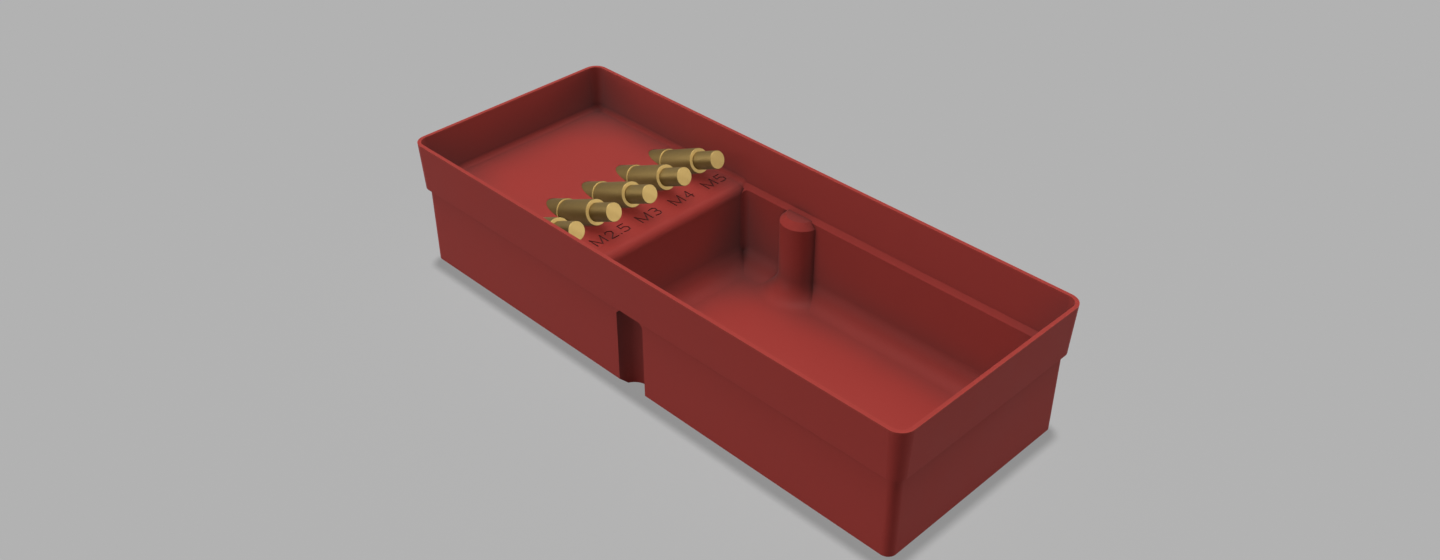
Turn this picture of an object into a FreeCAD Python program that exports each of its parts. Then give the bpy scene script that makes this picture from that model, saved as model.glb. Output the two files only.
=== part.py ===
import FreeCAD, Part
import math
import os

# Storage bin for a portable parts organiser: one printed tray that holds five
# brass heat-set insert tips in inclined bores and keeps loose inserts in a deep
# pocket beside them.  Millimetres.  Origin at the middle of the base, +X along
# the bin towards the deep pocket, +Z up.

Vec = FreeCAD.Vector

# ---------------------------------------------------------------- driving sizes
BIN_LENGTH = 216.0            # over the rim, along X
BIN_WIDTH = 84.0              # over the rim, along Y
BIN_HEIGHT = 50.7             # base to rim

RIM_WALL = 1.27               # wall at the rim
RIM_CORNER = 4.9              # outside corner radius at the rim
BAND_BOTTOM = 32.75           # lower edge of the wide upper band
BAND_LEAN = 0.95              # how far the band leans in from the rim to its lower edge
TUB_INSET = 2.3               # how far the lower tub stands in from the rim
TUB_WALL = 1.5
TUB_CORNER = 3.1              # outside corner radius of the lower tub
BASE_CHAMFER = 3.0            # 45 degree chamfer round the base
BASE_CORNER = 0.6

FLOOR = 2.0                   # top of the floor of the deep pocket
FLOOR_FILLET = 7.5            # scoop between floor and walls
INSIDE_CORNER = 2.0           # upright inside corners of the deep pocket
LEDGE_BOTTOM = 32.4           # where the slanted inside ledge starts
LEDGE_TOP = 34.0

PLATFORM_TOP = 33.5           # raised block that holds the tips
PLATFORM_FACE = -26.2         # its upright face, where the deep pocket starts
PLATFORM_NOSE = 3.0           # rounding along its front edge
PLATFORM_FILLET = 2.0         # fillet between its top and the walls
SEAM_SHIFT = 0.05             # where that fillet rolls over the edge, it bites this much into the wall

GROOVE_RADIUS = 6.0           # locating groove half way along each long side
GROOVE_CENTRE = 39.3          # distance of its axis from the middle of the bin
GROOVE_TOP = 31.4
GROOVE_CHAMFER = 1.65
POST_CHAMFER = 2.25           # on the half column that the groove makes inside
POST_TOP = 32.9

TIP_NAMES = ("tip_2", "tip_2_5", "tip_3", "tip_4", "tip_5")
TIP_LABELS = ("M2", "M2.5", "M3", "M4", "M5")
TIP_PITCH = 15.9
TIP_ANGLE = 24.6              # of a tip's axis above the platform
TIP_END = (-33.05, 43.8)      # x and z of the middle of each free end face
SHANK_DIAMETER = 6.46
SHANK_LENGTH = 9.8
BODY_DIAMETER = 8.95
BODY_LENGTH = 16.8
COLLAR_DIAMETER = 9.8
COLLAR_LENGTH = 14.0
INSERT_SEAT_DIAMETERS = (3.4, 4.0, 4.8, 5.8, 6.4)
INSERT_SEAT_LENGTH = 5.0
PILOT_DIAMETERS = (1.5, 2.0, 2.5, 3.3, 4.1)
PILOT_LENGTH = 4.0
EDGE_BREAK = 0.12             # turned edges are broken this much
BORE_CLEARANCE = 0.1          # all round a tip's collar
NOSE_BORE_DIAMETER = 7.4
NOSE_BORE_DEPTH = 11.0

LETTER_HEIGHT = 4.5
LETTER_WIDTH = 4.45           # of the wide letter M
DIGIT_WIDTH = 2.8
LETTER_GAP = 1.8
POINT_GAP = 1.5
STROKE_WIDTH = 0.5
STROKE_DEPTH = 0.4
LABEL_BASELINE = -33.6        # x of the foot of every letter
LABEL_CENTRES = (-30.9, -15.6, 1.6, 17.0, 32.7)   # middle of each label across the bin

# ---------------------------------------------------------------- worked out
TUB_TOP = BAND_BOTTOM - (TUB_INSET - BAND_LEAN)
TUB_INNER_INSET = TUB_INSET + TUB_WALL
TUB_INNER_X = BIN_LENGTH / 2 - TUB_INNER_INSET
TUB_INNER_Y = BIN_WIDTH / 2 - TUB_INNER_INSET
POST_RADIUS = GROOVE_RADIUS + TUB_WALL
PAST = 1.0                    # cutters and joined pieces run this far past a face
ABOVE = BIN_HEIGHT + PAST     # top of every hollow's cutter
TIP_AXIS = Vec(math.cos(math.radians(TIP_ANGLE)), 0, math.sin(math.radians(TIP_ANGLE)))


def band_inset(z):
    """Inset of the band's outside at a height."""
    return BAND_LEAN * (BIN_HEIGHT - z) / (BIN_HEIGHT - BAND_BOTTOM)


def rounded_outline(inset, radius, z):
    """Rounded rectangle, set in from the rim's outside, as a wire at height z."""
    hx = BIN_LENGTH / 2 - inset
    hy = BIN_WIDTH / 2 - inset
    turn = radius * (1 - math.sqrt(0.5))
    edges = []
    corners = ((1, -1), (1, 1), (-1, 1), (-1, -1))
    for sx, sy in corners:
        along_x = Vec(sx * (hx - radius), sy * hy, z)
        middle = Vec(sx * (hx - turn), sy * (hy - turn), z)
        along_y = Vec(sx * hx, sy * (hy - radius), z)
        start, end = (along_x, along_y) if sx * sy < 0 else (along_y, along_x)
        if edges:
            edges.append(Part.makeLine(edges[-1].lastVertex().Point, start))
        edges.append(Part.Arc(start, middle, end).toShape())
    edges.append(Part.makeLine(edges[-1].lastVertex().Point, edges[0].firstVertex().Point))
    return Part.Wire(edges)


def stacked(sections):
    """Solid through rounded outlines, given as (inset, radius, z) from the bottom up."""
    wires = [rounded_outline(*section) for section in sections]
    return Part.makeLoft(wires, True, True)


def polyline(points):
    return [Part.makeLine(a, b) for a, b in zip(points, points[1:])]


def turned(profile, base, axis):
    """Solid of revolution from (radius, distance) pairs along an axis from base."""
    points = [Vec(r, 0, d) for r, d in profile]
    if profile[0][0] > 0:
        points.insert(0, Vec(0, 0, profile[0][1]))
    if profile[-1][0] > 0:
        points.append(Vec(0, 0, profile[-1][1]))
    points.append(points[0])
    face = Part.Face(Part.Wire(polyline(points)))
    solid = face.revolve(Vec(0, 0, 0), Vec(0, 0, 1), 360)
    solid.Placement = FreeCAD.Placement(base, FreeCAD.Rotation(Vec(0, 0, 1), axis))
    return solid


def from_free_end(distance, y):
    """Point on a tip's axis, measured back from its free end face."""
    end = Vec(TIP_END[0], y, TIP_END[1])
    return end - TIP_AXIS * distance


# ---------------------------------------------------------------- tray
def outer_shell():
    base_inset = TUB_INSET + BASE_CHAMFER
    return stacked([
        (base_inset, BASE_CORNER, 0),
        (TUB_INSET, TUB_CORNER, BASE_CHAMFER),
        (TUB_INSET, TUB_CORNER, TUB_TOP),
        (BAND_LEAN, RIM_CORNER - BAND_LEAN, BAND_BOTTOM),
        (0, RIM_CORNER, BIN_HEIGHT),
    ])


def deep_pocket():
    """Straight-sided hollow beside the platform, from the floor to the ledge."""
    left, right = PLATFORM_FACE, TUB_INNER_X
    pocket = Part.makeBox(right - left, 2 * TUB_INNER_Y, LEDGE_BOTTOM - FLOOR, Vec(left, -TUB_INNER_Y, FLOOR))
    upright = [e for e in pocket.Edges if abs(e.tangentAt(e.FirstParameter).z) > 0.99]
    return pocket.makeFillet(INSIDE_CORNER, upright)


def air_over_front():
    """Everything in front of the platform's face and above its rounded front edge."""
    r = PLATFORM_NOSE
    turn = r * (1 - math.sqrt(0.5))
    back = PLATFORM_FACE - r
    low = PLATFORM_TOP - 2 * r
    far = BIN_LENGTH
    side = BIN_WIDTH
    outline = polyline([Vec(back, -side, ABOVE), Vec(back, -side, PLATFORM_TOP)])
    outline.append(Part.Arc(Vec(back, -side, PLATFORM_TOP),
                            Vec(PLATFORM_FACE - turn, -side, PLATFORM_TOP - turn),
                            Vec(PLATFORM_FACE, -side, PLATFORM_TOP - r)).toShape())
    outline += polyline([Vec(PLATFORM_FACE, -side, PLATFORM_TOP - r), Vec(PLATFORM_FACE, -side, low),
                         Vec(far, -side, low), Vec(far, -side, ABOVE), Vec(back, -side, ABOVE)])
    return Part.Face(Part.Wire(outline)).extrude(Vec(0, 2 * side, 0))


def inside_band(z):
    """Outline of the band's inside at a height, for stacked()."""
    inset = RIM_WALL + band_inset(z)
    return (inset, RIM_CORNER - inset, z)


def hollow_over_platform():
    """Hollow above the platform, with its bottom edge rounded."""
    hollow = stacked([inside_band(PLATFORM_TOP), inside_band(ABOVE)])
    bottom = [e for e in hollow.Edges if e.BoundBox.ZMax < PLATFORM_TOP + 0.01]
    hollow = hollow.makeFillet(PLATFORM_FILLET, bottom)
    length = PLATFORM_FACE - PLATFORM_NOSE + BIN_LENGTH / 2
    return hollow.common(Part.makeBox(length, BIN_WIDTH, ABOVE, Vec(-BIN_LENGTH / 2, -BIN_WIDTH / 2, 0)))


def hollow_over_ledge():
    """Hollow above the deep pocket: the slanted ledge and the band above it."""
    hollow = stacked([(TUB_INNER_INSET, INSIDE_CORNER, LEDGE_BOTTOM), inside_band(LEDGE_TOP),
                      inside_band(ABOVE)])
    nose = Part.makeBox(PLATFORM_NOSE, 2 * TUB_INNER_Y, 2 * PLATFORM_NOSE,
                        Vec(PLATFORM_FACE - PLATFORM_NOSE, -TUB_INNER_Y, PLATFORM_TOP - PLATFORM_NOSE))
    return hollow.fuse(nose).common(air_over_front())


def concave_wedge(radius):
    """Outline, in x and z, of the material that rounds off an inside corner at the origin."""
    turn = radius * (1 - math.sqrt(0.5))
    edges = polyline([Vec(0, 0, radius), Vec(-PAST, 0, radius), Vec(-PAST, 0, -PAST),
                      Vec(radius, 0, -PAST), Vec(radius, 0, 0)])
    edges.append(Part.Arc(Vec(radius, 0, 0), Vec(turn, 0, turn), Vec(0, 0, radius)).toShape())
    return Part.Face(Part.Wire(edges))


def floor_scoops():
    """Large rounding between the pocket's floor and its four walls."""
    width = 2 * TUB_INNER_Y + PAST
    length = TUB_INNER_X - PLATFORM_FACE + PAST
    middle = (TUB_INNER_X + PLATFORM_FACE) / 2
    scoops = []
    walls = ((PLATFORM_FACE, 0, 0, width), (TUB_INNER_X, 0, 180, width),
             (middle, -TUB_INNER_Y, 90, length), (middle, TUB_INNER_Y, -90, length))
    for x, y, angle, run in walls:
        scoop = concave_wedge(FLOOR_FILLET).extrude(Vec(0, run, 0))
        scoop.translate(Vec(0, -run / 2, 0))
        scoop.rotate(Vec(0, 0, 0), Vec(0, 0, 1), angle)
        scoop.translate(Vec(x, y, FLOOR))
        scoops.append(scoop)
    return scoops


def groove_post(side):
    """Half column inside the wall, behind a locating groove, with its scooped foot."""
    base = Vec(0, side * GROOVE_CENTRE, FLOOR - PAST)
    height = POST_TOP - base.z
    post = turned([(POST_RADIUS, 0), (POST_RADIUS, height - POST_CHAMFER),
                   (POST_RADIUS - POST_CHAMFER, height)], base, Vec(0, 0, 1))
    foot = concave_wedge(FLOOR_FILLET)
    foot.translate(Vec(POST_RADIUS, side * GROOVE_CENTRE, FLOOR))
    foot = foot.revolve(Vec(0, side * GROOVE_CENTRE, 0), Vec(0, 0, 1), 360)
    return post.fuse(foot)


def locating_groove(side):
    """Half-round groove in the outside of a long wall, open at the base."""
    base = Vec(0, side * GROOVE_CENTRE, -PAST)
    height = GROOVE_TOP - base.z
    return turned([(GROOVE_RADIUS, 0), (GROOVE_RADIUS, height - GROOVE_CHAMFER),
                   (GROOVE_RADIUS - GROOVE_CHAMFER, height)], base, Vec(0, 0, 1))


def rolled_fillet_end(side):
    """End of the fillet along a long wall, where it rolls over the platform's front edge."""
    inset, _, _ = inside_band(PLATFORM_TOP)
    wall = BIN_WIDTH / 2 - inset + SEAM_SHIFT
    section = concave_wedge(PLATFORM_FILLET)
    section.rotate(Vec(0, 0, 0), Vec(0, 0, 1), -90 * side)
    section.translate(Vec(PLATFORM_FACE - PLATFORM_NOSE, side * wall, PLATFORM_TOP))
    pivot = Vec(PLATFORM_FACE - PLATFORM_NOSE, 0, PLATFORM_TOP - PLATFORM_NOSE)
    return section.revolve(pivot, Vec(0, 1, 0), 90)


def ledge_run_out(side):
    """Slanted cut that carries the ledge round the platform's inside corner."""
    drop = INSIDE_CORNER
    y = side * TUB_INNER_Y
    x = PLATFORM_FACE
    outline = polyline([Vec(x, y, LEDGE_BOTTOM), Vec(x, y - side * drop, LEDGE_BOTTOM - drop),
                        Vec(x, y - side * drop, LEDGE_BOTTOM), Vec(x, y, LEDGE_BOTTOM)])
    return Part.Face(Part.Wire(outline)).extrude(Vec(INSIDE_CORNER, 0, 0))


def tip_bore(y):
    """Inclined bore for one tip: a wide part for the collar and a narrow one for the nose."""
    radius = COLLAR_DIAMETER / 2 + BORE_CLEARANCE
    collar_end = SHANK_LENGTH + BODY_LENGTH + COLLAR_LENGTH
    nose_end = collar_end + NOSE_BORE_DEPTH
    nose = NOSE_BORE_DIAMETER / 2
    return turned([(nose, 0), (nose, NOSE_BORE_DEPTH), (radius, NOSE_BORE_DEPTH),
                   (radius, nose_end - SHANK_LENGTH)], from_free_end(nose_end, y), TIP_AXIS)


# Each character is drawn on a grid 1 high and 1 wide, as runs of joined strokes.
STROKES = {
    "M": [[(0, 0), (0, 1), (0.5, 0), (1, 1), (1, 0)]],
    "2": [[(0, 0.78), (0.2, 0.97), (0.6, 1), (0.95, 0.82), (0.9, 0.55), (0, 0), (1, 0)]],
    "3": [[(0, 0.93), (0.3, 1), (0.7, 1), (0.95, 0.85), (0.9, 0.62), (0.45, 0.53)],
          [(0.45, 0.53), (0.85, 0.47), (1, 0.28), (0.85, 0.06), (0.5, 0), (0, 0.07)]],
    "4": [[(0.75, 0), (0.75, 1), (0, 0.3), (1, 0.3)]],
    "5": [[(0.95, 1), (0.1, 1), (0.05, 0.55), (0.6, 0.62), (1, 0.4), (0.9, 0.1), (0.5, 0), (0, 0.07)]],
    ".": [[(0, 0), (0, 0.04)]],
}


def character_width(character):
    return {"M": LETTER_WIDTH, ".": 0.0}.get(character, DIGIT_WIDTH)


def gap_between(first, second):
    return POINT_GAP if "." in (first, second) else LETTER_GAP


def character_starts(text, centre):
    """The y at which each character starts, for a label centred at a place across the bin."""
    starts = [0.0]
    for first, second in zip(text, text[1:]):
        starts.append(starts[-1] + character_width(first) + gap_between(first, second))
    width = starts[-1] + character_width(text[-1])
    return [centre - width / 2 + start for start in starts]


def stroke_cutters(points):
    """Round-ended slots from point to point, at the bottom of the engraving."""
    radius = STROKE_WIDTH / 2
    depth = STROKE_DEPTH + PAST
    cutters = [Part.makeCylinder(radius, depth, point) for point in points]
    for start, end in zip(points, points[1:]):
        along = end - start
        turn = math.degrees(math.atan2(along.y, along.x))
        slot = Part.makeBox(along.Length, STROKE_WIDTH, depth, Vec(0, -radius, 0))
        slot.Placement = FreeCAD.Placement(start, FreeCAD.Rotation(Vec(0, 0, 1), turn))
        cutters.append(slot)
    return cutters


def engraved_label(text, centre):
    """A thread size, sunk into the platform, that reads along +Y."""
    cutters = []
    bottom = PLATFORM_TOP - STROKE_DEPTH
    for character, start in zip(text, character_starts(text, centre)):
        width = character_width(character)
        for run in STROKES[character]:
            cutters += stroke_cutters([Vec(LABEL_BASELINE - v * LETTER_HEIGHT, start + u * width, bottom)
                                       for u, v in run])
    return cutters[0].fuse(cutters[1:])


def tray():
    shell = outer_shell()
    body = shell.cut([deep_pocket(), hollow_over_ledge(), hollow_over_platform()])
    body = body.cut([ledge_run_out(side) for side in (-1, 1)])
    body = body.fuse([scoop.common(shell) for scoop in floor_scoops()])
    for side in (-1, 1):
        body = body.fuse([rolled_fillet_end(side).common(shell), groove_post(side).common(shell)])
        body = body.cut(locating_groove(side))
    body = body.cut([tip_bore(tip_y(i)) for i in range(len(TIP_NAMES))])
    body = body.cut([engraved_label(text, y) for text, y in zip(TIP_LABELS, LABEL_CENTRES)])
    return body.removeSplitter()


# ---------------------------------------------------------------- tips
def tip_y(i):
    """Place of a tip across the bin; the smallest is nearest the -Y wall."""
    return (i - (len(TIP_NAMES) - 1) / 2) * TIP_PITCH


def insert_tip(i):
    """One brass tip: pilot and insert seat below, then collar, body and plain shank."""
    pilot = PILOT_DIAMETERS[i] / 2
    seat = INSERT_SEAT_DIAMETERS[i] / 2
    collar = COLLAR_DIAMETER / 2
    body = BODY_DIAMETER / 2
    shank = SHANK_DIAMETER / 2
    c = EDGE_BREAK
    seat_start = PILOT_LENGTH
    collar_start = seat_start + INSERT_SEAT_LENGTH
    body_start = collar_start + COLLAR_LENGTH
    shank_start = body_start + BODY_LENGTH
    end = shank_start + SHANK_LENGTH
    profile = [(pilot - 2 * c, 0), (pilot, 2 * c), (pilot, seat_start),
               (seat - c, seat_start), (seat, seat_start + c), (seat, collar_start),
               (collar - c, collar_start), (collar, collar_start + c),
               (collar, body_start - c), (collar - c, body_start), (body, body_start),
               (body, shank_start - c), (body - c, shank_start), (shank, shank_start),
               (shank, end - c), (shank - c, end)]
    return turned(profile, from_free_end(end, tip_y(i)), TIP_AXIS)


# ---------------------------------------------------------------- build
nodes = {"tray": tray()}
for i, name in enumerate(TIP_NAMES):
    nodes[name] = insert_tip(i)

os.makedirs("parts", exist_ok=True)
for name, shape in nodes.items():
    shape.exportStep(f"parts/{name}.step")
    box = shape.BoundBox
    print(f"{name}: valid {shape.isValid()}, {len(shape.Solids)} solid, volume {shape.Volume:.1f} mm3, "
          f"x {box.XMin:.2f}..{box.XMax:.2f}, y {box.YMin:.2f}..{box.YMax:.2f}, z {box.ZMin:.2f}..{box.ZMax:.2f}")
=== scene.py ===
# %% [markdown]
# # A parts organiser bin with five brass tips
#
# The real object is a one-piece red bin that drops into a portable parts
# organiser.  A raised platform at one end holds five brass tips, which press
# threaded inserts into plastic, and the deep pocket beside it keeps the inserts.
#
# The solids come from CAD at real size, with every rounding and engraved stroke
# that the real bin has, so nothing is modelled again here.  What Blender adds is
# what CAD can't hold: printed plastic, turned brass, light and a camera.

# %% Load the frame
import math

import bpy
from mathutils import Matrix, Vector


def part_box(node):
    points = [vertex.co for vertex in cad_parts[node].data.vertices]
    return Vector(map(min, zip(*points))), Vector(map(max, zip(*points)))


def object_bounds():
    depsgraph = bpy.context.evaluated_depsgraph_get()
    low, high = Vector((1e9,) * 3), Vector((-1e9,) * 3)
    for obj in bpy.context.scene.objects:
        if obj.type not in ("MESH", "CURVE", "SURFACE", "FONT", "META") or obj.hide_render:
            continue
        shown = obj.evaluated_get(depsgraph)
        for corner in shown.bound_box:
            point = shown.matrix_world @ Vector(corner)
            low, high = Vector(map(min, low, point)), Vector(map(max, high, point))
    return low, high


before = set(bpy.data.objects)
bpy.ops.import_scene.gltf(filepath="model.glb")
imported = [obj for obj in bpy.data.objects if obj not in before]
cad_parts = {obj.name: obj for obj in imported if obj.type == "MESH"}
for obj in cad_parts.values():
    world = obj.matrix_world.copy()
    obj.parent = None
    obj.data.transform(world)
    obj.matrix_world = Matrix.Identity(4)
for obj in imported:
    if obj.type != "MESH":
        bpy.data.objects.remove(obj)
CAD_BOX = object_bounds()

MM = 0.001
scene = bpy.context.scene
scene.view_settings.view_transform = "Standard"

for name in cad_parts:
    low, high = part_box(name)
    print(name, "is", [round((b - a) / MM, 1) for a, b in zip(low, high)], "mm")

# %% [markdown]
# ## Colours and nodes
#
# Colours are picked the way a designer picks them, as hex values on a screen.
# The renderer works in linear light, so one function turns one into the other.
# A second small function adds a node with its settings and the links into it,
# which keeps each material down to the few lines that matter.

# %% Three helpers
def linear(hex_colour):
    """An sRGB hex colour as linear red, green, blue and alpha."""
    channels = [int(hex_colour[i:i + 2], 16) / 255 for i in (1, 3, 5)]
    return [c / 12.92 if c <= 0.04045 else ((c + 0.055) / 1.055) ** 2.4 for c in channels] + [1.0]


def add(tree, kind, inputs, **settings):
    """Adds a node.  Inputs maps a socket to its value, or to the (node, output) that feeds it."""
    node = tree.nodes.new(kind)
    for name, value in settings.items():
        setattr(node, name, value)
    for socket, value in inputs.items():
        comes_from_node = isinstance(value, tuple) and isinstance(value[0], bpy.types.Node)
        if comes_from_node:
            tree.links.new(value[0].outputs[value[1]], node.inputs[socket])
        else:
            node.inputs[socket].default_value = value
    return node


def new_material(name):
    """A material whose node tree is empty, and that tree."""
    material = bpy.data.materials.new(name)
    material.use_nodes = True
    material.node_tree.nodes.clear()
    return material, material.node_tree


MIXED = 2      # a Mix node set to colours takes A on 6 and B on 7, and gives the result on output 2
print("A mid red in linear light:", [round(c, 3) for c in linear("#A83C36")])

# %% [markdown]
# ## Matte PLA, printed in layers: the pigment
#
# The bin is matte polylactide from a filament printer.  One pigment runs
# through it, but the plastic sets a little lighter and darker over a couple of
# centimetres, so a soft noise moves between two reds that are close.
#
# The edges of the thin rim are paler: partly wear from handling, and partly a painted
# highlight where the rounded edge would catch the light.  An edge can be painted by
# hand, but a node can find it: an ambient occlusion node that looks inward meets the
# far side of the plastic only where it is near, which is at an outer edge.  The
# height keeps the paler edge off the bores and strokes, which fingers don't reach.

# %% Red pigment, paler at the edges for wear and a painted highlight
DARKER_RED = "#A53B35"
LIGHTER_RED = "#A93D37"
EDGE_WEAR_AND_HIGHLIGHT_RED = "#B4453D"
MOTTLE = 18 * MM
EDGE_WEAR_AND_HIGHLIGHT_WIDTH = 1.0 * MM
EDGE_WEAR_AND_HIGHLIGHT_ABOVE = 36 * MM
MOST_EDGE_WEAR_AND_HIGHLIGHT = 0.8              # share of the paler red on a sharp edge


def pigment(tree, place):
    """Two close reds, paler at an edge for wear and a painted highlight, and the noise that mixes them."""
    mottle = add(tree, "ShaderNodeTexNoise", {"Vector": place, "Scale": 1 / MOTTLE, "Detail": 3.0})
    red = add(tree, "ShaderNodeMix", {0: (mottle, 0), 6: linear(DARKER_RED), 7: linear(LIGHTER_RED)},
              data_type="RGBA")
    inward = add(tree, "ShaderNodeAmbientOcclusion", {"Distance": EDGE_WEAR_AND_HIGHLIGHT_WIDTH},
                 inside=True, only_local=True, samples=8)
    edge_wear_and_highlight = add(tree, "ShaderNodeMapRange", {"Value": (inward, "AO"), "From Min": 0.5, "From Max": 0.9,
                                              "To Min": MOST_EDGE_WEAR_AND_HIGHLIGHT, "To Max": 0.0})
    axes = add(tree, "ShaderNodeSeparateXYZ", {0: place})
    high_up = add(tree, "ShaderNodeMath", {0: (axes, "Z"), 1: EDGE_WEAR_AND_HIGHLIGHT_ABOVE}, operation="GREATER_THAN")
    edge_wear_and_highlight_here = add(tree, "ShaderNodeMath", {0: (edge_wear_and_highlight, 0), 1: (high_up, 0)}, operation="MULTIPLY")
    # The paler red at the edges is partly wear and partly a painted highlight.
    colour = add(tree, "ShaderNodeMix", {0: (edge_wear_and_highlight_here, 0), 6: (red, MIXED), 7: linear(EDGE_WEAR_AND_HIGHLIGHT_RED)},
                 data_type="RGBA")
    return colour, mottle


# The paler edges are partly wear and partly a painted highlight.
print("Edges above", EDGE_WEAR_AND_HIGHLIGHT_ABOVE / MM, "mm are rubbed", EDGE_WEAR_AND_HIGHLIGHT_WIDTH / MM, "mm wide")

# %% [markdown]
# ## Painted shade in the pocket, darker in the creases
#
# Shade is painted into the colour where the bin is closed in: low on the walls,
# in the scoops round the floor and along the foot of every wall.  It makes the red
# darker and a little duller there.  In the upright corners of the pocket it is
# painted as a dark line.
#
# Both follow from how closed in a place is, so two outward ambient occlusion
# nodes find them, one that looks 25 mm away and one that looks 4 mm away.  The
# near one also paints shade into the engraved strokes, which then read dark
# although no paint fills them.  Its range ends just above what the blunt corner
# under the outer step gives, so that the outer faces get no painted shade.

# %% Painted shade in hollows and creases
# Colour of the painted shade where the bin is closed in.
HOLLOW_SHADE = "#6C3A38"
HOLLOW_SHADE_REACH = 25 * MM
HOLLOW_SHADE_OPENNESS = (0.3, 0.9)    # full painted shade up to the first and none from the second; 1 is fully open
CREASE_REACH = 4 * MM
CREASE_OPENNESS = (0.6, 0.86)
CREASE_SHADE = 0.5             # what a full crease leaves of the colour


def closed_in(tree, reach, openness, effect):
    """Takes how open a place is within that reach from the range openness to the range effect."""
    outward = add(tree, "ShaderNodeAmbientOcclusion", {"Distance": reach}, only_local=True, samples=8)
    return add(tree, "ShaderNodeMapRange", {
        "Value": (outward, "AO"), "From Min": openness[0], "From Max": openness[1],
        "To Min": effect[0], "To Max": effect[1]})


def hollow_shade_and_creases(tree, colour):
    """The colour with painted shade where it is closed in, and darker painted shade in the creases."""
    # Painted shade: a darker, duller red where the bin is closed in within 25 mm.
    hollow_shade = closed_in(tree, HOLLOW_SHADE_REACH, HOLLOW_SHADE_OPENNESS, (1.0, 0.0))
    hollow_shaded = add(tree, "ShaderNodeMix", {0: (hollow_shade, 0), 6: colour, 7: linear(HOLLOW_SHADE)}, data_type="RGBA")
    # Painted shade: darker still in creases and engraved strokes within 4 mm.
    crease = closed_in(tree, CREASE_REACH, CREASE_OPENNESS, (CREASE_SHADE, 1.0))
    return add(tree, "ShaderNodeMix", {0: 1.0, 6: (hollow_shaded, MIXED), 7: (crease, 0)},
               data_type="RGBA", blend_type="MULTIPLY")


# These reaches are those of the painted shade in closed-in places and in creases.
print("Grime is found within", HOLLOW_SHADE_REACH / MM, "mm and creases within", CREASE_REACH / MM, "mm")

# %% [markdown]
# ## Light that bounces inside the bin
#
# Red walls that face each other pass the same light to and fro, and each bounce
# makes it redder, until the pocket glows.  A real matte print does this far less,
# because its dusty skin sends part of the light back with no colour in it.
#
# A layer of white haze over the red would do that too, but it would also wash
# out the outer faces.  The Light Path node is used instead: only light on its
# way from wall to wall, or to the brass, meets a duller red.

# %% A duller red for bounced light
BOUNCED_RED = "#9B8B89"


def seen_or_bounced(tree, colour):
    """The colour itself where it is seen, and the duller red for light on its way to another surface."""
    path = add(tree, "ShaderNodeLightPath", {})
    bounced = add(tree, "ShaderNodeMath", {0: (path, "Is Diffuse Ray"), 1: (path, "Is Glossy Ray")},
                  operation="MAXIMUM")
    return add(tree, "ShaderNodeMix", {0: (bounced, 0), 6: colour, 7: linear(BOUNCED_RED)},
               data_type="RGBA")


print("Bounced light meets", [round(c, 2) for c in linear(BOUNCED_RED)[:3]])

# %% [markdown]
# ## Matte PLA, printed in layers: the surface
#
# The walls are stacks of beads 0.2 mm high.  They scatter the light, so the
# plastic looks dry and its gloss is weak and wide.  Top faces are laid as
# beads 0.45 mm wide that run slantwise.  Either pattern is too fine to show
# from where the camera stands, so both are drawn coarser and very shallow.
#
# A wave texture along Z gives the layers, and a wave along the slant gives the
# beads on top.  Each would smear over the faces that belong to the other, so
# the upward part of the surface normal chooses between them.  A fine noise
# is added for the grain that a matte filament has all over.

# %% Ridges and grain
WAVE_PERIOD = math.tau / 20    # a wave texture repeats each time its input grows by this
DRAWN_LAYER = 0.8 * MM         # the layers are really 0.2 mm
DRAWN_BEAD = 1.0 * MM          # the beads on top are really 0.45 mm
GRAIN = 0.5 * MM
RELIEF = 0.1 * MM              # height of ridges and grain, before their strength scales it
BEAD_SLANT = math.radians(45)
LEVEL_FACE = 0.9               # a face counts as a top when its normal points up at least this much


def plastic_bump(tree, place):
    """The height of layers, top beads and grain, turned into a surface normal."""
    layers = add(tree, "ShaderNodeTexWave", {"Vector": place, "Scale": WAVE_PERIOD / DRAWN_LAYER},
                 bands_direction="Z")
    turned = add(tree, "ShaderNodeMapping", {"Vector": place, "Rotation": (0, 0, BEAD_SLANT)})
    beads = add(tree, "ShaderNodeTexWave", {"Vector": (turned, 0), "Scale": WAVE_PERIOD / DRAWN_BEAD},
                bands_direction="X")
    facing = add(tree, "ShaderNodeNewGeometry", {})
    up = add(tree, "ShaderNodeSeparateXYZ", {0: (facing, "True Normal")})
    on_top = add(tree, "ShaderNodeMath", {0: (up, "Z"), 1: LEVEL_FACE}, operation="GREATER_THAN")
    ridges = add(tree, "ShaderNodeMix", {0: (on_top, 0), 2: (layers, "Fac"), 3: (beads, "Fac")})
    grain = add(tree, "ShaderNodeTexNoise", {"Vector": place, "Scale": 1 / GRAIN, "Detail": 2.0})
    grainy = add(tree, "ShaderNodeBump", {"Strength": 0.12, "Distance": RELIEF, "Height": (grain, 0)})
    return add(tree, "ShaderNodeBump", {"Strength": 0.06, "Distance": RELIEF, "Height": (ridges, 0),
                                        "Normal": (grainy, 0)})


print("Layers are drawn", DRAWN_LAYER / MM, "mm high and beads", DRAWN_BEAD / MM, "mm wide")

# %% [markdown]
# ## Matte PLA, printed in layers: put together
#
# Pigment, painted shade, duller bounced light and surface meet in one Principled shader.
# Plastic isn't metal, so its gloss comes from its refractive index, about 1.46
# here, and a low specular level weakens it as a rough skin does.  The noise that
# mixes the two reds also moves the roughness a little, so the sheen isn't the
# same all over.

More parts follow.
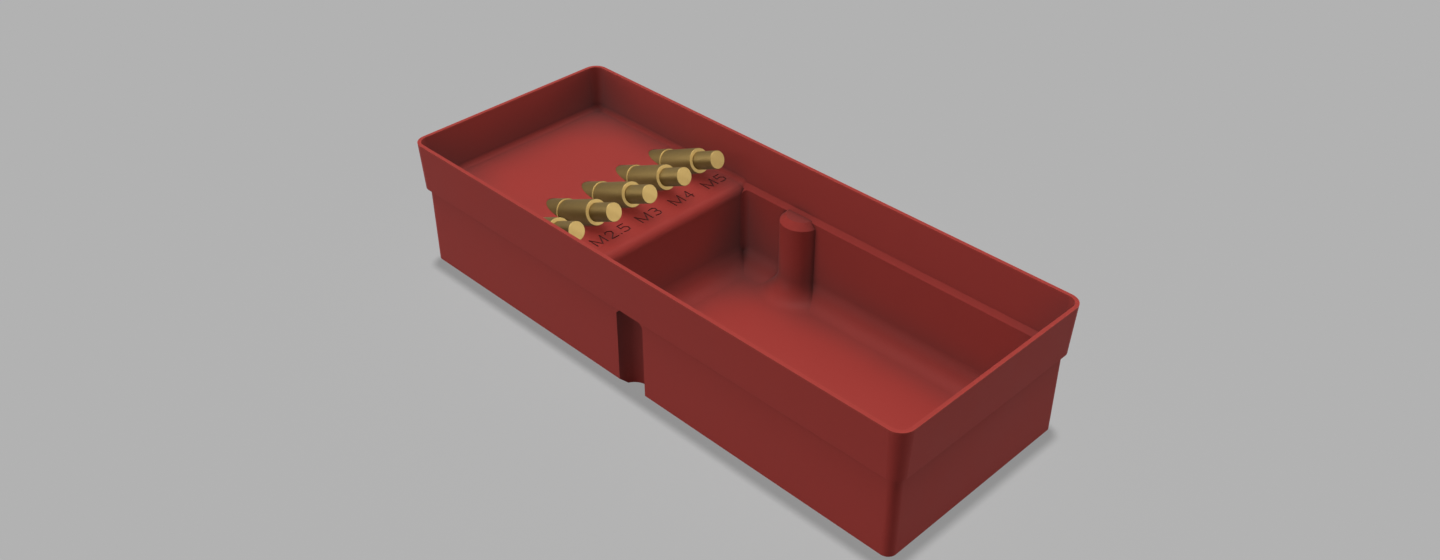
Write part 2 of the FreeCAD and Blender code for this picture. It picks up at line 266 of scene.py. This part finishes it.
# %% The finished plastic
def printed_plastic():
    """Red pigment, painted shade, duller bounced light and the printed surface in one material."""
    material, tree = new_material("PLA, matte red, printed in layers")
    place = (add(tree, "ShaderNodeTexCoord", {}), "Object")
    red, mottle = pigment(tree, place)
    # Painted shade in hollows and creases goes into the colour here.
    shaded_red = hollow_shade_and_creases(tree, (red, MIXED))
    colour = seen_or_bounced(tree, (shaded_red, MIXED))
    rough = add(tree, "ShaderNodeMapRange", {"Value": (mottle, 0), "To Min": 0.46, "To Max": 0.58})
    shader = add(tree, "ShaderNodeBsdfPrincipled", {
        "Base Color": (colour, MIXED), "Roughness": (rough, 0), "Normal": (plastic_bump(tree, place), 0),
        "IOR": 1.46, "Specular IOR Level": 0.12})
    add(tree, "ShaderNodeOutputMaterial", {"Surface": (shader, 0)})
    return material


plastic = printed_plastic()
print(plastic.name, "has", len(plastic.node_tree.nodes), "nodes")

# %% [markdown]
# ## Turned brass
#
# The tips are free-cutting brass from a small lathe.  The tool leaves rings: one
# after another along the sides, and one inside another on the end faces.  Both
# come from one height, a wave of the distance along the tip plus a wave of the
# distance from its axis, because each is constant where the other one shows.
#
# The five tips lie side by side, so one material can serve them all: the place
# is turned until the tips point along X, then wrapped across them, which folds
# all five axes onto one.  The feed is really about 0.1 mm a turn, and is drawn
# at 0.6 mm so that it shows.  Heat and handling dull the metal, so its gloss is
# wide, and leave it browner in places, which a soft noise mixes in.

# %% Place along each tip
TIP_LEAN = math.radians(24.6)              # from level
TIP_PITCH = 15.9 * MM
TIP_END = Vector((-33.05, 0, 43.8)) * MM   # middle of the free end of the middle tip


def along_the_tip(tree):
    """Place measured from each tip's own free end, with X along its axis."""
    place = (add(tree, "ShaderNodeTexCoord", {}), "Object")
    shift = Matrix.Rotation(TIP_LEAN, 3, "Y") @ -TIP_END
    turned = add(tree, "ShaderNodeMapping", {"Vector": place, "Location": shift,
                                             "Rotation": (0, TIP_LEAN, 0)})
    half = TIP_PITCH / 2
    return add(tree, "ShaderNodeVectorMath", {0: (turned, 0), 1: (1, half, 1), 2: (-1, -half, -1)},
               operation="WRAP")


print("The tips lean", round(math.degrees(TIP_LEAN), 1), "degrees and stand", TIP_PITCH / MM, "mm apart")

# %% Turned brass
DRAWN_FEED = 0.6 * MM          # the feed is really about 0.1 mm
BRASS = "#A68E5A"
TARNISHED_BRASS = "#957C4A"
TARNISH = 5 * MM


def turned_brass():
    """Brass with tool rings and a soft tarnish."""
    material, tree = new_material("brass, turned and heat dulled")
    place = (along_the_tip(tree), 0)
    scale = WAVE_PERIOD / DRAWN_FEED
    sides = add(tree, "ShaderNodeTexWave", {"Vector": place, "Scale": scale}, bands_direction="X")
    ends = add(tree, "ShaderNodeTexWave", {"Vector": place, "Scale": scale},
               wave_type="RINGS", rings_direction="X")
    rings = add(tree, "ShaderNodeMath", {0: (sides, "Fac"), 1: (ends, "Fac")}, operation="ADD")
    bump = add(tree, "ShaderNodeBump", {"Strength": 0.08, "Distance": RELIEF, "Height": (rings, 0)})
    tarnish = add(tree, "ShaderNodeTexNoise", {"Vector": place, "Scale": 1 / TARNISH, "Detail": 4.0})
    colour = add(tree, "ShaderNodeMix", {0: (tarnish, 0), 6: linear(BRASS), 7: linear(TARNISHED_BRASS)},
                 data_type="RGBA")
    rough = add(tree, "ShaderNodeMapRange", {"Value": (tarnish, 0), "To Min": 0.45, "To Max": 0.55})
    shader = add(tree, "ShaderNodeBsdfPrincipled", {
        "Base Color": (colour, MIXED), "Roughness": (rough, 0), "Normal": (bump, 0), "Metallic": 1.0})
    add(tree, "ShaderNodeOutputMaterial", {"Surface": (shader, 0)})
    return material


brass = turned_brass()
print(brass.name, "has", len(brass.node_tree.nodes), "nodes")

# %% [markdown]
# ## Give each solid its finish
#
# The CAD solids keep their shape and place.  Only the material in their slots
# changes: plastic on the tray, brass on every tip.

# %% Finishes on the solids
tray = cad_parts["tray"]
tips = [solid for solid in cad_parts.values() if solid != tray]
for solid in [tray] + tips:
    for material_slot in solid.material_slots:
        material_slot.material = plastic if solid == tray else brass
    print(solid.name, "is now", solid.material_slots[0].material.name)

# %% [markdown]
# ## Floor and background
#
# A plain grey table under a plain grey sky.  The background has to be as pale
# as #B2B2B2, and lighting the floor that much would wash the object out, so
# part of the floor's brightness is a glow that only the camera, reflections and
# clear materials see.  The rest is real light, and where the bin keeps that
# light off, its shadow stays.
#
# The floor lies a hair below the bin, because two faces at one height flicker.

# %% Rays that see the background
BACKGROUND = "#B2B2B2"


def seen_directly(tree):
    """1 for rays from the camera, a reflection or a clear material, else 0."""
    path = add(tree, "ShaderNodeLightPath", {})
    camera_or_gloss = add(tree, "ShaderNodeMath", {0: (path, "Is Camera Ray"), 1: (path, "Is Glossy Ray")},
                          operation="MAXIMUM")
    return add(tree, "ShaderNodeMath", {0: (camera_or_gloss, 0), 1: (path, "Is Transmission Ray")},
               operation="MAXIMUM")


print("The background in linear light:", [round(c, 3) for c in linear(BACKGROUND)[:3]])

# %% Floor
IN_SHADOW = 0.61               # how bright the floor is in full shadow, against the open floor
FLOOR_LIGHT = 0.74             # strength of the lamp that lights the floor
FLOOR_SIZE = 6.0               # metres
FLOOR_GAP = 0.02 * MM


def share(hex_colour, part):
    """Part of a colour's light."""
    return [c * part for c in linear(hex_colour)[:3]] + [1.0]


def pale_floor():
    """Grey paint that is partly lit, and partly glows for the rays that see the background."""
    material, tree = new_material("table top, painted grey")
    lit = add(tree, "ShaderNodeBsdfDiffuse", {"Color": share(BACKGROUND, (1 - IN_SHADOW) / FLOOR_LIGHT)})
    glow = add(tree, "ShaderNodeEmission", {"Color": share(BACKGROUND, IN_SHADOW)})
    both = add(tree, "ShaderNodeAddShader", {0: (lit, 0), 1: (glow, 0)})
    chosen = add(tree, "ShaderNodeMixShader", {0: (seen_directly(tree), 0), 1: (lit, 0), 2: (both, 0)})
    add(tree, "ShaderNodeOutputMaterial", {"Surface": (chosen, 0)})
    return material


bpy.ops.mesh.primitive_plane_add(size=FLOOR_SIZE, location=(0, 0, CAD_BOX[0][2] - FLOOR_GAP))
floor = bpy.context.object
floor.name = "floor"
floor.data.materials.append(pale_floor())
print("The floor lies at z =", round(floor.location.z / MM, 3), "mm")

# %% World
def grey_world():
    """A world that looks grey and gives no light."""
    world = bpy.data.worlds.new("studio")
    world.use_nodes = True
    tree = world.node_tree
    tree.nodes.clear()
    dark = add(tree, "ShaderNodeBackground", {"Color": linear("#000000")})
    wall = add(tree, "ShaderNodeBackground", {"Color": linear(BACKGROUND)})
    chosen = add(tree, "ShaderNodeMixShader", {0: (seen_directly(tree), 0), 1: (dark, 0), 2: (wall, 0)})
    add(tree, "ShaderNodeOutputWorld", {"Surface": (chosen, 0)})
    return world


scene.world = grey_world()
print("The world gives no light and looks", BACKGROUND)

# %% [markdown]
# ## Lamps
#
# Wide suns light the bin from overhead and from each side.  A wide sun is as soft
# as a large studio panel, and it is equally strong on every part, so faces keep an
# even tone.  A strength of 1 shows a white card that faces the lamp as white.
#
# Light linking says which objects a lamp reaches.  The side lamps would drag
# long shadows over the table, so a narrow sun overhead lights the floor alone,
# and the only shadow is the crisp one right under the rim.  The right lamps leave
# out the tips, which lie behind the far wall as seen from there.  Two more lamps
# reach the tips alone, because metal needs something bright to mirror on each
# side that is seen.
#
# In a studio, white cards held close to an object lift its dark sides, and light
# from a card so near casts hardly a shadow.  Three suns with no shadow stand
# for such cards: one lifts the long walls inside and out, one lifts the faces
# that look to the right, such as the upright face under the engraving, and one
# stands nearly along the tips and brightens their ends.
#
# Linking also says which objects cast a lamp's shadow.  Half of the overhead
# light ignores the tips, as light that has scattered round a bright room does,
# so that the engraving right beside them stays readable.  The left upper lamp is
# shaded by the tips alone, so the band draws no dark line along the tub under it.

# %% Which objects a lamp reaches
def linked(name, objects, state):
    """A collection that links a lamp to only these objects (INCLUDE) or to all but these (EXCLUDE)."""
    collection = bpy.data.collections.new(name)
    for member in objects:
        collection.objects.link(member)
    for member in collection.collection_objects:
        member.light_linking.link_state = state
    print("Lamps can be linked to", name)
    return collection


all_but_floor = linked("all but the floor", [floor], "EXCLUDE")
only_tray = linked("only the tray", [tray], "INCLUDE")
only_tips = linked("only the tips", tips, "INCLUDE")
all_but_tips = linked("all but the tips", tips, "EXCLUDE")
only_floor = linked("only the floor", [floor], "INCLUDE")

# %% Lamps
def sun(name, azimuth, elevation, spread, strength, reached, shaded_by=None):
    """A sun seen from the object at that azimuth (from +X, anticlockwise) and elevation, in degrees.
    Reached and shaded_by are the objects that it lights and those that cast its shadow (None is all)."""
    azimuth, elevation = math.radians(azimuth), math.radians(elevation)
    towards = Vector((math.cos(azimuth) * math.cos(elevation), math.sin(azimuth) * math.cos(elevation),
                      math.sin(elevation)))
    lamp = bpy.data.lights.new(name, "SUN")
    lamp.energy = strength * math.pi
    lamp.angle = math.radians(spread)
    holder = bpy.data.objects.new(name, lamp)
    holder.rotation_euler = towards.to_track_quat("Z", "Y").to_euler()
    holder.light_linking.receiver_collection = reached
    holder.light_linking.blocker_collection = shaded_by
    scene.collection.objects.link(holder)
    print(name, "shines from", [round(c, 2) for c in towards])
    return lamp


# In each line: azimuth, elevation, spread, strength, what it reaches and what shades it.
sun("overhead lamp", 0, 90, 50, 0.28, all_but_floor)
sun("overhead fill lamp", 0, 90, 20, 0.28, all_but_floor, all_but_tips)
sun("back upper lamp", 135, 60, 40, 0.13, all_but_floor)
sun("left lamp", -135, 2, 30, 0.21, all_but_floor)
sun("left upper lamp", -135, 60, 40, 0.09, all_but_floor, only_tips)
sun("right lamp", 45, 2, 30, 0.15, only_tray)
sun("right upper lamp", 45, 60, 40, 0.10, only_tray)
sun("left middle lamp", -135, 30, 40, 0.16, only_tips)
sun("front upper lamp", -80, 45, 40, 0.06, only_tips)
sun("card for the long walls", -115, 2, 40, 0.235, only_tray).use_shadow = False
sun("card for the end walls", 35, 2, 40, 0.12, only_tray).use_shadow = False
sun("card for the tips", 35, 5, 40, 0.44, only_tips).use_shadow = False
sun("floor lamp", 0, 90, 4, FLOOR_LIGHT, only_floor)

# %% [markdown]
# ## Camera
#
# The view is the classic isometric one: down the long diagonal of a cube, from
# the front right.  A 35 mm lens from under half a metre away keeps a little
# perspective, so the near corner looks larger than the far one.

# %% Camera
AIM = Vector((0, 0, 25.2)) * MM            # the middle of the bin
DISTANCE = 458.1 * MM
CUBE_DIAGONAL = Vector((1, -1, 1)).normalized()

lens = bpy.data.cameras.new("camera")
lens.lens = 35
lens.sensor_width = 36
lens.clip_start = 10 * MM
camera = bpy.data.objects.new("camera", lens)
camera.location = AIM + DISTANCE * CUBE_DIAGONAL
camera.rotation_euler = (math.atan(math.sqrt(2)), 0, math.radians(45))
scene.collection.objects.link(camera)
scene.camera = camera
print("The camera stands at", [round(c / MM, 1) for c in camera.location], "mm")
